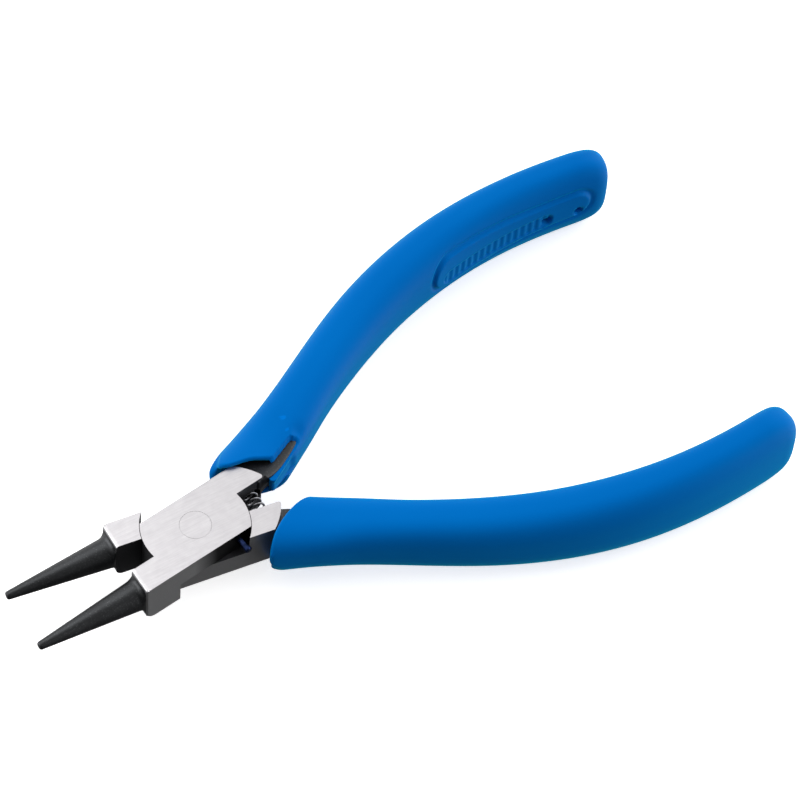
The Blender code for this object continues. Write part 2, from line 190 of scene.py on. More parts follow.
TONGUE_SIDE_RAMP = 0.8 * MM
LIP_ROUND = 0.55 * MM
LIP_ROUND_NOSE = 0.9 * MM
LIP_NOSE_FROM = 0.6
LIP_NOSE_RAMP = 0.35
LIP_STEPS = 10
LIP_INNER_ROUND = 0.4 * MM
LIP_INNER_STEPS = 6
MOUTH_DEPTH = 3.5 * MM
MOUTH_ROWS = (1.0, 0.75, 0.5, 0.3)

# Step inwards of the inner side just behind the mouth
INNER_STEP = {"upper": 0.45 * MM, "lower": 0.3 * MM}
INNER_STEP_AT = 2.7 * MM
INNER_STEP_RAMP = 1.4 * MM
INNER_STEP_FOOT = -1.2 * MM
INNER_STEP_RISE = 1.0 * MM
INNER_STEP_TOP = 3.0 * MM
INNER_STEP_FALL = 1.5 * MM

# Slot along the upper inner edge that shows the tang, and the dimple past its end
SLOT_EDGE = -2.55 * MM
SLOT_TAPER = -0.10
SLOT_FLARE = 0.42 / MM
SLOT_FLARE_REACH = 1.7 * MM
SLOT_END = 5.1 * MM
SLOT_CORNER = 0.85 * MM
SLOT_FLOOR = 2.9 * MM
SLOT_WALL = 0.25 * MM
SLOT_BEFORE = 12 * MM
DIMPLE_AT = (6.2 * MM, -3.6 * MM)
DIMPLE_SIZE = (1.3 * MM, 0.8 * MM)
DIMPLE_DEPTH = 0.4 * MM

# Pad on the inner side, with its groove, ribbed recess and two holes
PAD_STATIONS = np.array([  # distance, centre above mid thickness, half height
    (48.1, 0.6, 3.75), (57.0, 0.5, 3.65), (65.0, 0.3, 3.35), (73.0, 0.2, 2.9), (82.2, 0.3, 2.9)]) * MM
PAD_AFTER = 40 * MM
PAD_RISE = 0.32 * MM
PAD_EDGE = 0.3 * MM
GROOVE_AT = 0.45 * MM
GROOVE_DEPTH = 0.28 * MM
GROOVE_WIDTH = 0.45 * MM
HOLES = (  # distance, centre above mid thickness, radius
    (79.9 * MM, -1.3 * MM, 0.75 * MM), (73.6 * MM, -0.9 * MM, 0.8 * MM))
HOLE_DEPTH = 1.9 * MM
HOLE_EDGE = 0.3 * MM
RECESS_SPAN = (50.3 * MM, 74.7 * MM)
RECESS_CENTRE = -0.6 * MM
RECESS_HALF = 1.5 * MM
RECESS_DEPTH = 0.3 * MM
RIB_PITCH = 1.5 * MM
RIB_RISE = 0.14 * MM
RIB_WIDTH = 1.6
RIB_STEEPNESS = 4.5

# Rivet
RIVET_RADIUS = 2.6 * MM
RIVET_GAP = 0.01 * MM
RIVET_CHAMFER = 0.03 * MM
RIVET_BORDER = 0.3 * MM
RIVET_SIDES = 96
RIVET_SHARP = math.radians(30)
HUB = 0.05  # share of its radius where a turned end closes

# Spring and its pockets
SPRING_X = 11.65 * MM
SPRING_HALF_LENGTH = 4.05 * MM
SPRING_RADIUS = 1.1 * MM
WIRE_RADIUS = 0.2 * MM
SPRING_TURNS = 8
SPRING_CLOSED_PITCH = 2.1 * WIRE_RADIUS
POCKET_RADIUS = 1.95 * MM
POCKET_DEPTH = 2.0 * MM
POCKET_AT = 11.85 * MM
POCKET_SIDES = 64

# Pin on the upper lever's side
PIN_AT = 4.7 * MM
PIN_RADIUS = 0.62 * MM
PIN_GAP = 0.02 * MM
PIN_REACH = 8.0 * MM
PIN_ROOT = 2.9 * MM
PIN_CHAMFER = 0.16 * MM
PIN_CROWN = ((1.6, 0.0), (1.0, 0.15), (0.25, 0.7), (0.0, 1.5))  # chamfers in from the side, back from the end
PIN_SIDES = 64
PIN_HOLE_SIDES = 48
PIN_SHARP = math.radians(50)
PIN_HEIGHT = THICKNESS / 4

LEVER_FRAME = {
    "upper": Matrix.Translation((0, 0, MID)) @ Matrix.Rotation(OPEN_ANGLE, 4, "Z"),
    "lower": (Matrix.Translation((0, 0, MID)) @ Matrix.Rotation(-OPEN_ANGLE, 4, "Z")
              @ Matrix.Rotation(math.pi, 4, "X")),
}


# ---------------------------------------------------------------- camera, floor and light

CAMERA_TARGET = Vector((42.66, 6.9, 4.1)) * MM
CAMERA_DISTANCE = 655.2 * MM
CAMERA_LENS = 179.82
CAMERA_CLIP = (0.01, 20)
CAMERA_AZIMUTH = math.radians(-36.153)
CAMERA_ELEVATION = math.radians(55.204)
CAMERA_ROLL = math.radians(5.616)

SOFTBOXES = (  # name, place, size, radiance
    ("joint_light", (-0.03, 0.138, 0.25), 0.19, 1.3),
    ("left_box", (-0.35, 0.22, 0.12), 0.22, 3.2),
    ("side_card", (0.15, -0.14, 0.03), 0.10, 1.2),
)

DOME_BASE = 0.11
DOME_LOBES = (  # direction, cosines at the lobe's foot and full level, full level
    ((-0.42, 0.82, 0.42), (0.0, 0.85), 1.58),
    ((1.00, -0.30, 0.25), (0.35, 0.95), 2.6),
)

FLOOR_HALF = 3.0
FLOOR_DROP = 0.05 * MM
FLOOR_GLOW = 0.6


def add_camera():
    data = bpy.data.cameras.new("camera")
    data.lens = CAMERA_LENS
    data.clip_start, data.clip_end = CAMERA_CLIP
    camera = bpy.data.objects.new("camera", data)
    bpy.context.scene.collection.objects.link(camera)
    turn = (Matrix.Rotation(CAMERA_AZIMUTH, 4, "Z") @ Matrix.Rotation(math.pi / 2 - CAMERA_ELEVATION, 4, "X")
            @ Matrix.Rotation(CAMERA_ROLL, 4, "Z"))
    back = turn.to_3x3() @ Vector((0, 0, 1))
    camera.matrix_world = Matrix.Translation(CAMERA_TARGET + back * CAMERA_DISTANCE) @ turn
    bpy.context.scene.camera = camera


def add_softbox(name, place, size, radiance):
    """A square softbox that faces the origin."""
    data = bpy.data.lights.new(name, "AREA")
    data.shape = "SQUARE"
    data.size = size
    data.energy = radiance * math.pi * size**2
    light = bpy.data.objects.new(name, data)
    bpy.context.scene.collection.objects.link(light)
    light.location = place
    light.rotation_euler = Vector(place).to_track_quat("Z", "Y").to_euler()


def add_world():
    """A dim studio dome with a broad lobe from behind the upper lever and a brighter one from +X."""
    world = bpy.data.worlds.new("studio")
    bpy.context.scene.world = world
    world.use_nodes = True
    tree = world.node_tree
    tree.nodes.clear()
    coordinates = tree.nodes.new("ShaderNodeTexCoord")
    total = None
    for direction, (low, high), level in DOME_LOBES:
        dot = tree.nodes.new("ShaderNodeVectorMath")
        dot.operation = "DOT_PRODUCT"
        dot.inputs[1].default_value = Vector(direction).normalized()
        lobe = tree.nodes.new("ShaderNodeMapRange")
        lobe.interpolation_type = "SMOOTHSTEP"
        for name, number in (("From Min", low), ("From Max", high), ("To Min", 0), ("To Max", level)):
            lobe.inputs[name].default_value = number
        summed = tree.nodes.new("ShaderNodeMath")
        summed.inputs[1].default_value = DOME_BASE
        tree.links.new(coordinates.outputs["Generated"], dot.inputs[0])
        tree.links.new(dot.outputs["Value"], lobe.inputs["Value"])
        tree.links.new(lobe.outputs["Result"], summed.inputs[0])
        if total is not None:
            tree.links.new(total, summed.inputs[1])
        total = summed.outputs["Value"]
    background = tree.nodes.new("ShaderNodeBackground")
    output = tree.nodes.new("ShaderNodeOutputWorld")
    tree.links.new(total, background.inputs["Strength"])
    tree.links.new(background.outputs["Background"], output.inputs["Surface"])


def add_floor():
    """A pale glowing table just under the sleeves, which gives the pliers no light, reflection or shadow."""
    work = bmesh.new()
    bmesh.ops.create_grid(work, x_segments=1, y_segments=1, size=FLOOR_HALF)
    mesh = bpy.data.meshes.new("floor")
    work.to_mesh(mesh)
    work.free()
    floor = bpy.data.objects.new("floor", mesh)
    bpy.context.scene.collection.objects.link(floor)
    floor.location = (0, 0, CAD_BOX[0][2] - FLOOR_DROP)
    look = new_material("floor_white")
    shader = look.node_tree.nodes["Principled BSDF"]
    shader.inputs["Base Color"].default_value = (0.9, 0.9, 0.9, 1)
    shader.inputs["Roughness"].default_value = 0.9
    shader.inputs["Specular IOR Level"].default_value = 0.1
    shader.inputs["Emission Color"].default_value = (1, 1, 1, 1)
    shader.inputs["Emission Strength"].default_value = FLOOR_GLOW
    mesh.materials.append(look)
    floor.visible_diffuse = floor.visible_glossy = floor.visible_shadow = False


# ---------------------------------------------------------------- materials


GRIND_STRETCH = (0.05, 1, 1)
# Near black used as painted shade: where the side beside the stop pin ends, and the colour of the lap and inner
# walls.
PAINTED_SHADE_BLACK = (0.005, 0.005, 0.006)
GUNMETAL = {"base": (0.085, 0.085, 0.09), "worn": (0.35, 0.35, 0.36), "roughness": 0.38, "grain_depth": 0.006 * MM}
# Span along X over which the upper lever's outer side is painted from gunmetal to black: painted shade beside the
# stop pin.
PIN_SIDE_PAINTED_SHADE = (-3.5 * MM, 1.0 * MM)


def new_material(name):
    made = bpy.data.materials.new(name)
    made.use_nodes = True
    return made


class Nodes:
    """Short calls for building one material's node tree."""

    def __init__(self, name):
        self.material = new_material(name)
        self.tree = self.material.node_tree
        self.shader = self.tree.nodes["Principled BSDF"]

    def link(self, output, target):
        self.tree.links.new(output, target)

    def set(self, **values):
        for name, value in values.items():
            self.shader.inputs[name.replace("_", " ")].default_value = value

    def noise(self, scale, stretch=(1, 1, 1), detail=3.0, roughness=0.55):
        """A noise over the object's own coordinates, scale in waves per metre, drawn out by a stretch."""
        coordinates = self.tree.nodes.new("ShaderNodeTexCoord")
        mapping = self.tree.nodes.new("ShaderNodeMapping")
        mapping.inputs["Scale"].default_value = stretch
        noise = self.tree.nodes.new("ShaderNodeTexNoise")
        noise.inputs["Scale"].default_value = scale
        noise.inputs["Detail"].default_value = detail
        noise.inputs["Roughness"].default_value = roughness
        self.link(coordinates.outputs["Object"], mapping.inputs["Vector"])
        self.link(mapping.outputs["Vector"], noise.inputs["Vector"])
        return noise.outputs["Fac"]

    def ranged(self, value, low, high, to_low, to_high):
        """A value moved from one range to another, and held inside it."""
        node = self.tree.nodes.new("ShaderNodeMapRange")
        for name, number in (("From Min", low), ("From Max", high), ("To Min", to_low), ("To Max", to_high)):
            node.inputs[name].default_value = number
        self.link(value, node.inputs["Value"])
        return node.outputs["Result"]

    def along_x(self, low, high):
        """0 to 1 along the object's X between two places."""
        coordinates = self.tree.nodes.new("ShaderNodeTexCoord")
        split = self.tree.nodes.new("ShaderNodeSeparateXYZ")
        self.link(coordinates.outputs["Object"], split.inputs["Vector"])
        return self.ranged(split.outputs["X"], low, high, 0, 1)

    def mix(self, factor, first, second):
        """A colour between two, each a colour or an output."""
        node = self.tree.nodes.new("ShaderNodeMix")
        node.data_type = "RGBA"
        self.link(factor, node.inputs["Factor"])
        for socket, value in ((node.inputs[6], first), (node.inputs[7], second)):
            if isinstance(value, tuple):
                socket.default_value = (*value, 1)
            else:
                self.link(value, socket)
        return node.outputs[2]

    def edges(self, low, high):
        """0 on flats to 1 on sharp convex edges, for wear."""
        geometry = self.tree.nodes.new("ShaderNodeNewGeometry")
        return self.ranged(geometry.outputs["Pointiness"], low, high, 0, 1)

    def bump(self, height, distance, strength=1.0, under=None):
        node = self.tree.nodes.new("ShaderNodeBump")
        node.inputs["Distance"].default_value = distance
        node.inputs["Strength"].default_value = strength
        self.link(height, node.inputs["Height"])
        if under is not None:
            self.link(under, node.inputs["Normal"])
        return node.outputs["Normal"]


def ground_steel(name):
    """Surface-ground steel: fine grinding lines along X and faint mottling."""
    n = Nodes(name)
    n.set(Metallic=1.0)
    lines = n.noise(5200, GRIND_STRETCH, detail=4.0, roughness=0.6)
    mottle = n.noise(700, detail=4.0)
    base = n.mix(n.ranged(mottle, 0.3, 0.7, 0, 1), (0.500, 0.486, 0.503), (0.550, 0.538, 0.551))
    lined = n.mix(n.ranged(lines, 0.35, 0.65, 0, 0.35), base, (0.405, 0.393, 0.405))
    n.link(lined, n.shader.inputs["Base Color"])
    n.link(n.ranged(lines, 0.3, 0.7, 0.30, 0.42), n.shader.inputs["Roughness"])
    n.link(n.bump(lines, 0.006 * MM), n.shader.inputs["Normal"])
    return n.material


def black_oxide(name, base, worn, roughness, grain_depth, painted_shade_span=None):
    """Blackened steel with a fine peened grain, lighter where edges are rubbed, and painted darker to black along X
    over a span when one is given, as painted shade.
    """
    n = Nodes(name)
    n.set(Metallic=0.85)
    grain = n.noise(4200, detail=5.0, roughness=0.65)
    cloud = n.noise(260, detail=2.0)
    dark = tuple(0.75 * c for c in base)
    tone = n.mix(n.ranged(cloud, 0.3, 0.7, 0, 1), dark, base)
    flecked = n.mix(n.ranged(grain, 0.56, 0.72, 0, 0.5), tone, worn)
    colour = n.mix(n.edges(0.56, 0.66), flecked, worn)
    # Painted shade: the colour blends to black along X over the given span.
    if painted_shade_span:
        colour = n.mix(n.along_x(*painted_shade_span), colour, PAINTED_SHADE_BLACK)
    n.link(colour, n.shader.inputs["Base Color"])
    n.link(n.ranged(grain, 0.3, 0.7, roughness - 0.06, roughness + 0.08), n.shader.inputs["Roughness"])
    n.link(n.bump(grain, grain_depth), n.shader.inputs["Normal"])
    return n.material


def spring_steel():
    """Bright drawn wire with a fine mottle."""
    n = Nodes("spring_steel")
    n.set(Metallic=1.0)
    drawn = n.noise(9000, detail=2.0)
    n.link(n.mix(drawn, (0.16, 0.16, 0.17), (0.40, 0.40, 0.42)), n.shader.inputs["Base Color"])
    n.link(n.ranged(drawn, 0.3, 0.7, 0.22, 0.34), n.shader.inputs["Roughness"])
    n.link(n.bump(drawn, 0.002 * MM), n.shader.inputs["Normal"])
    return n.material


def blued_steel():
    """Dark heat-blued steel, cloudy and rubbed pale on its edges."""
    n = Nodes("blued_steel")
    n.set(Metallic=1.0)
    cloud = n.noise(900, detail=3.0)
    tone = n.mix(n.ranged(cloud, 0.35, 0.65, 0, 1), (0.008, 0.014, 0.038), (0.018, 0.030, 0.095))
    n.link(n.mix(n.edges(0.6, 0.8), tone, (0.30, 0.34, 0.42)), n.shader.inputs["Base Color"])
    n.link(n.ranged(cloud, 0.3, 0.7, 0.20, 0.32), n.shader.inputs["Roughness"])
    n.link(n.bump(n.noise(8000), 0.003 * MM), n.shader.inputs["Normal"])
    return n.material


def blue_plastic():
    """Satin moulded plastic: slight flow marks in the colour, a fine spark-eroded skin and rubbed edges."""
    n = Nodes("blue_plastic")
    n.set(Specular_Tint=(0.0, 1.0, 0.65, 1), IOR=1.5)
    n.shader.inputs["Specular IOR Level"].default_value = 0.04
    n.set(Sheen_Weight=0.45, Sheen_Roughness=0.35, Sheen_Tint=(0.0, 0.95, 0.95, 1))
    flow = n.noise(60, (0.5, 1, 1), detail=2.0)
    skin = n.noise(3800, detail=3.0, roughness=0.5)
    tone = n.mix(n.ranged(flow, 0.3, 0.7, 0, 1), (0.0, 0.117, 0.440), (0.0, 0.129, 0.465))
    n.link(n.mix(n.edges(0.53, 0.60), tone, (0.0, 0.150, 0.56)), n.shader.inputs["Base Color"])
    n.link(n.ranged(skin, 0.3, 0.7, 0.36, 0.46), n.shader.inputs["Roughness"])
    n.link(n.bump(skin, 0.008 * MM, 0.8), n.shader.inputs["Normal"])
    return n.material


# ---------------------------------------------------------------- shape helpers


def add_object(name, mesh):
    obj = bpy.data.objects.new(name, mesh)
    bpy.context.scene.collection.objects.link(obj)
    return obj


def realised_mesh(obj, name):
    bpy.context.view_layer.update()
    mesh = bpy.data.meshes.new_from_object(obj.evaluated_get(bpy.context.evaluated_depsgraph_get()))
    mesh.name = name
    return mesh


def boolean(obj, operation, mesh):
    """Joins a mesh to the object, or cuts it away, and applies the result."""
    other = add_object("operand", mesh)
    modifier = obj.modifiers.new("boolean", "BOOLEAN")
    modifier.operation = operation
    modifier.object = other
    result = realised_mesh(obj, obj.name)
    obj.modifiers.clear()
    obj.data = result
    bpy.data.objects.remove(other)


def finished_mesh(work, name):
    bmesh.ops.recalc_face_normals(work, faces=work.faces)
    mesh = bpy.data.meshes.new(name)
    work.to_mesh(mesh)
    work.free()
    return mesh


def cylinder_mesh(radius, low, high, sides=CUTTER_SIDES):
    work = bmesh.new()
    bmesh.ops.create_cone(work, cap_ends=True, segments=sides, radius1=radius, radius2=radius, depth=high - low,
                          matrix=Matrix.Translation((0, 0, (low + high) / 2)))
    return finished_mesh(work, "cylinder")


def prism_mesh(outline, low, high):
    work = bmesh.new()
    bottom = work.faces.new([work.verts.new((x, y, low)) for x, y in outline])
    grown = bmesh.ops.extrude_face_region(work, geom=[bottom])["geom"]
    bmesh.ops.translate(work, vec=(0, 0, high - low), verts=[v for v in grown if isinstance(v, bmesh.types.BMVert)])
    return finished_mesh(work, "prism")


def grid_mesh(name, points):
    """A closed body from rows of points (rows, columns, 3), each row a ring, capped at both ends."""
    rows, columns, _ = points.shape
    index = np.arange(rows * columns).reshape(rows, columns)
    following = np.roll(index, -1, axis=1)
    quads = np.stack([index[:-1], following[:-1], following[1:], index[1:]], axis=-1).reshape(-1, 4)
    faces = [*quads.tolist(), index[0, ::-1].tolist(), index[-1].tolist()]
    mesh = bpy.data.meshes.new(name)
    mesh.from_pydata(points.reshape(-1, 3).tolist(), [], faces)
    work = bmesh.new()
    work.from_mesh(mesh)
    bpy.data.meshes.remove(mesh)
    return finished_mesh(work, name)


def turned_mesh(name, profile, sides):
    """A body turned about Z from a profile of (radius, height)."""
    angles = 2 * np.pi * np.arange(sides) / sides
    rows = [[(r * math.cos(a), r * math.sin(a), h) for a in angles] for r, h in profile]
    return grid_mesh(name, np.array(rows))


def arc(radius, start, end, steps=ARC_STEPS):
    angles = [start + (end - start) * i / steps for i in range(steps + 1)]
    return [(radius * math.cos(a), radius * math.sin(a)) for a in angles]


def superellipse(angles, exponent):
    c, s = np.cos(angles), np.sin(angles)
    return np.sign(c) * np.abs(c) ** (2 / exponent), np.sign(s) * np.abs(s) ** (2 / exponent)


def sizes_at(stations, distance):
    """The sizes at each distance, on smooth curves through the stations."""
    x, y = stations[:, 0], stations[:, 1:]
    slopes = np.empty_like(y)
    slopes[1:-1] = (y[2:] - y[:-2]) / (x[2:] - x[:-2])[:, None]
    slopes[0], slopes[-1] = (y[1] - y[0]) / (x[1] - x[0]), (y[-1] - y[-2]) / (x[-1] - x[-2])
    distance = np.asarray(distance, float)
    k = np.clip(np.searchsorted(x, distance, side="right") - 1, 0, len(x) - 2)
    span = (x[k + 1] - x[k])[..., None]
    t = (distance - x[k])[..., None] / span
    return ((2 * t**3 - 3 * t**2 + 1) * y[k] + (t**3 - 2 * t**2 + t) * span * slopes[k]
            + (3 * t**2 - 2 * t**3) * y[k + 1] + (t**3 - t**2) * span * slopes[k + 1])


def smoothstep(x):
    x = np.clip(x, 0, 1)
    return x * x * (3 - 2 * x)


class Centreline:
    """The handle's cubic Bezier by distance, with straight ends."""

    def __init__(self, points, steps=600):
        t = np.linspace(0, 1, steps + 1)[:, None]
        a, b, c, d = points
        self.places = (1 - t) ** 3 * a + 3 * (1 - t) ** 2 * t * b + 3 * (1 - t) * t**2 * c + t**3 * d
        along = 3 * ((1 - t) ** 2 * (b - a) + 2 * (1 - t) * t * (c - b) + t**2 * (d - c))
        self.along = along / np.linalg.norm(along, axis=1, keepdims=True)
        self.distances = np.concatenate([[0], np.cumsum(np.linalg.norm(np.diff(self.places, axis=0), axis=1))])

    def points(self, distance, across, up):
        """Points in the lever frame from distance along, across to the left, and up."""
        inside = np.clip(distance, 0, self.distances[-1])
        place = np.stack([np.interp(inside, self.distances, self.places[:, i]) for i in (0, 1)], -1)
        along = np.stack([np.interp(inside, self.distances, self.along[:, i]) for i in (0, 1)], -1)
        left = np.stack([-along[..., 1], along[..., 0]], -1)
        plan = place + along * (distance - inside)[..., None] + left * across[..., None]
        return np.concatenate([plan, up[..., None]], -1)


HANDLE = Centreline(HANDLE_CURVE)


# ---------------------------------------------------------------- levers


def block_outline():
    """Plan of the ground joint body: jaw block, disc and tang block."""
    half, inner = HALF_WIDTH, INNER_FACE
    inner_angle, edge_angle = math.asin(inner / DISC_RADIUS), math.asin(half / DISC_RADIUS)
    front = -JAW_BLOCK_END
    start = np.array([TANG_BLOCK_OUTER_END, half])
    corner = np.array([TANG_BLOCK_INNER_END - TANG_BLOCK_CORNER, inner + TANG_BLOCK_CORNER])
    finish = corner + np.array([TANG_BLOCK_CORNER, TANG_BLOCK_STEM])
    outwards = np.array([start[1] - finish[1], finish[0] - start[0]]) / np.linalg.norm(finish - start)
    end = [tuple(start + t * (finish - start) + 4 * t * (1 - t) * TANG_BLOCK_BULGE * outwards)
           for t in np.linspace(0, 1, TANG_BLOCK_STEPS)]
    end += [(corner[0] + x, corner[1] + y) for x, y in arc(TANG_BLOCK_CORNER, 0, -math.pi / 2, CORNER_STEPS)]
    return [
        (front + JAW_BLOCK_SKEW + JAW_BLOCK_CORNER, -half),
        (front + JAW_BLOCK_SKEW, -half + JAW_BLOCK_CORNER),
        (front, -inner),
        *arc(DISC_RADIUS, math.pi + inner_angle, math.pi - edge_angle, NOTCH_STEPS),
        *end,
        *arc(DISC_RADIUS, inner_angle, -edge_angle),
    ]


def ring(base, towards, left, x, across, up):
    """One row of a jaw, at x along it from its base."""
    plan = base + towards * x + left * across[:, None]
    return np.concatenate([plan, up[:, None]], axis=1)


def jaw_root(rounds, angles):
    """The jaw's outline on the block's front plane, and the middle of its width."""
    square_x, square_y = superellipse(angles, JAW_ROOT_EXPONENT)
    left, right = -INNER_FACE - JAW_ROOT_INSET, -HALF_WIDTH + JAW_BLOCK_CORNER
    low, high = rounds[0] + JAW_ROOT_MARGIN - MID, MID - rounds[1] - JAW_ROOT_MARGIN
    q = (left + right) / 2 + (left - right) / 2 * square_x
    p = -JAW_BLOCK_END + JAW_BLOCK_SKEW * (-INNER_FACE - q) / (HALF_WIDTH - JAW_BLOCK_CORNER - INNER_FACE)
    z = (low + high) / 2 + (high - low) / 2 * square_y
    return p, q, z, (left + right) / 2


def jaw_mesh(rounds):
    """A round tapered jaw that grows out of the block's front plane through a cove."""
    slant = math.atan((JAW_BASE_RADIUS - JAW_TIP_RADIUS) / (JAW_TIP_REACH - JAW_BLOCK_END))
    heading = slant - CLOSE_ANGLE
    length = (JAW_TIP_REACH - JAW_BLOCK_END) / math.cos(heading)
    angles = 2 * np.pi * (np.arange(JAW_SIDES) + 0.5) / JAW_SIDES
    round_x, round_y = np.cos(angles), np.sin(angles)
    root_p, root_q, root_z, middle_q = jaw_root(rounds, angles)
    foot = np.array([-JAW_BLOCK_END, -JAW_BLOCK_END * math.tan(CLOSE_ANGLE)])
    towards = np.array([-math.cos(heading), math.sin(heading)])
    left = np.array([math.sin(heading), math.cos(heading)])
    base = foot - JAW_BASE_RADIUS * left
    rows = [np.stack([root_p + sink, middle_q + (root_q - middle_q) * spread, root_z * spread], -1)
            for sink, spread in JAW_ROOT_ROWS]
    cove = [COVE * (1 - math.cos(math.pi / 2 * i / COVE_STEPS)) for i in range(1, COVE_STEPS + 1)]
    straight = np.linspace(COVE, length - JAW_TIP_ROUND, JAW_STEPS)[1:].tolist()
    for x in cove + straight:
        radius = JAW_BASE_RADIUS + (JAW_TIP_RADIUS - JAW_BASE_RADIUS) * x / length
        cone = ring(base, towards, left, x, radius * round_x, radius * round_y)
        flare = 1 - math.sqrt(1 - max(0.0, 1 - x / COVE) ** 2)
        rows.append((1 - flare) * cone + flare * np.stack([root_p - x, root_q, root_z], -1))
    for i in range(1, JAW_TIP_STEPS + 1):
        turn = math.pi / 2 * i / JAW_TIP_STEPS
        radius = JAW_TIP_RADIUS - JAW_TIP_ROUND * (1 - math.cos(turn))
        x = length - JAW_TIP_ROUND * (1 - math.sin(turn))
        rows.append(ring(base, towards, left, x, radius * round_x, radius * round_y))
    return grid_mesh("jaw", np.array(rows))


def tang_mesh():
    """The tang along the handle's centreline, hollowed on its inner side near the joint."""
    angles = 2 * np.pi * (np.arange(TANG_SIDES) + 0.5) / TANG_SIDES
    unit_x, unit_y = superellipse(angles, TANG_EXPONENT)
    sizes = sizes_at(TANG_STATIONS, TANG_ROWS)
    across = np.where(unit_x > 0, sizes[:, :1], sizes[:, 1:2]) * unit_x
    hollow = (TANG_HOLLOW * smoothstep((TANG_HOLLOW_TOP - unit_y) / TANG_HOLLOW_RAMP)
              * smoothstep((TANG_HOLLOW_END - TANG_ROWS) / TANG_HOLLOW_FADE)[:, None])
    across = np.where(unit_x < 0, across * (1 - hollow), across)
    up = sizes[:, 2:] * unit_y
    points = HANDLE.points(np.broadcast_to(TANG_ROWS[:, None], across.shape), across, up)
    return grid_mesh("tang", points)


def across_lever(mesh, p, q, z=0.0):
    """Turns a mesh made along Z to lie across the lever, from a place on it."""
    mesh.transform(Matrix.Translation((p, q, z)) @ Matrix.Rotation(-math.pi / 2, 4, "X"))
    return mesh


def block_mesh(rounds):
    """The joint body with its front edges rounded, the lower one first."""
    work = bmesh.new()
    work.from_mesh(prism_mesh(block_outline(), -MID, MID))
    for height, radius in zip((-MID, MID), rounds):
        edges = [e for e in work.edges
                 if all(v.co.x < -JAW_BLOCK_END + NEAR and abs(v.co.z - height) < NEAR for v in e.verts)]
        bmesh.ops.bevel(work, geom=edges, offset=radius, segments=JAW_BLOCK_ROUND_STEPS, profile=0.5, affect="EDGES")
    return finished_mesh(work, "block")


def lever_mesh(side):
    """One forging: the block, jaw and tang joined, then the lap recess and the holes cut."""
    rounds = [JAW_BLOCK_ROUND[face] for face in (("bottom", "top") if side == "upper" else ("top", "bottom"))]
    lever = add_object("lever", block_mesh(rounds))
    boolean(lever, "UNION", jaw_mesh(rounds))
    boolean(lever, "UNION", tang_mesh())
    boolean(lever, "DIFFERENCE", cylinder_mesh(DISC_RADIUS + ARC_CLEARANCE, -MID - MM, LAP_GAP / 2))
    boolean(lever, "DIFFERENCE", cylinder_mesh(RIVET_RADIUS + RIVET_GAP, -MID - MM, MID + MM))
    pocket = cylinder_mesh(POCKET_RADIUS, -MM, POCKET_DEPTH, POCKET_SIDES)
    boolean(lever, "DIFFERENCE", across_lever(pocket, POCKET_AT, INNER_FACE))
    if side == "upper":
        hole = cylinder_mesh(PIN_RADIUS + PIN_GAP, -PIN_REACH, -PIN_ROOT, PIN_HOLE_SIDES)
        boolean(lever, "DIFFERENCE", across_lever(hole, PIN_AT, 0, PIN_HEIGHT))
    mesh = lever.data
    bpy.data.objects.remove(lever)
    mesh.name = f"lever_{side}"
    mesh.materials.clear()
    for look in LEVER_LOOKS:
        mesh.materials.append(LOOKS[look])
    for face in mesh.polygons:
        face.material_index = LEVER_LOOKS.index(face_look(side, face.center, face.normal))
    return mesh


def face_look(side, centre, normal):
    """Ground flats and front edges, oxide jaw and tang, gunmetal sides (on the upper lever's outer side painted
    darker towards the pin, as painted shade) and inner walls in black oxide painted near black as shade.
    """
    front = -JAW_BLOCK_END + JAW_BLOCK_SKEW * min(1, (-INNER_FACE - centre.y) / (HALF_WIDTH - INNER_FACE))
    flat = abs(normal.z) > FLAT_NORMAL and abs(centre.z) > MID - NEAR
    front_edge = (centre.x < -JAW_BLOCK_END + FRONT_EDGE_DEPTH and abs(normal.z) > FRONT_EDGE_NORMAL
                  and abs(centre.z) > FRONT_EDGE_HEIGHT)
    if flat or front_edge:
        return "ground"
    if centre.x < front - JAW_LOOK_START or past_tang_block(centre):
        return "oxide"
    if centre.x < -JAW_BLOCK_END + FRONT_FACE_DEPTH and centre.y < -INNER_FACE - SIDE_MARGIN:
        return "gunmetal"
    if abs(centre.y) > HALF_WIDTH - SIDE_MARGIN:
        # The upper lever's outer side: gunmetal with painted shade going to black towards the stop pin.
        return "pin_painted_shade" if side == "upper" and centre.y < 0 else "gunmetal"
    # Inner walls and the lap floor: black oxide painted near black, partly the oxide's colour and partly painted
    # shade between the blocks.
    return "lap"


def past_tang_block(point):
    """True beyond the tang block's slanted end."""
    t = (HALF_WIDTH - point.y) / (HALF_WIDTH - INNER_FACE)
    end = TANG_BLOCK_OUTER_END + t * (TANG_BLOCK_INNER_END - TANG_BLOCK_OUTER_END)
    return point.x > end + TANG_LOOK_START


def soften_edges(obj, width, segments=2):
    """Breaks hard edges and keeps the flats flat."""
    obj.data.shade_smooth()
    bevel = obj.modifiers.new("edge break", "BEVEL")
    bevel.width = width
    bevel.segments = segments
    bevel.limit_method = "ANGLE"
    bevel.angle_limit = EDGE_BREAK_ANGLE
    bevel.use_clamp_overlap = True
    weighted = obj.modifiers.new("flat shading", "WEIGHTED_NORMAL")
    weighted.keep_sharp = True


# ---------------------------------------------------------------- sleeves


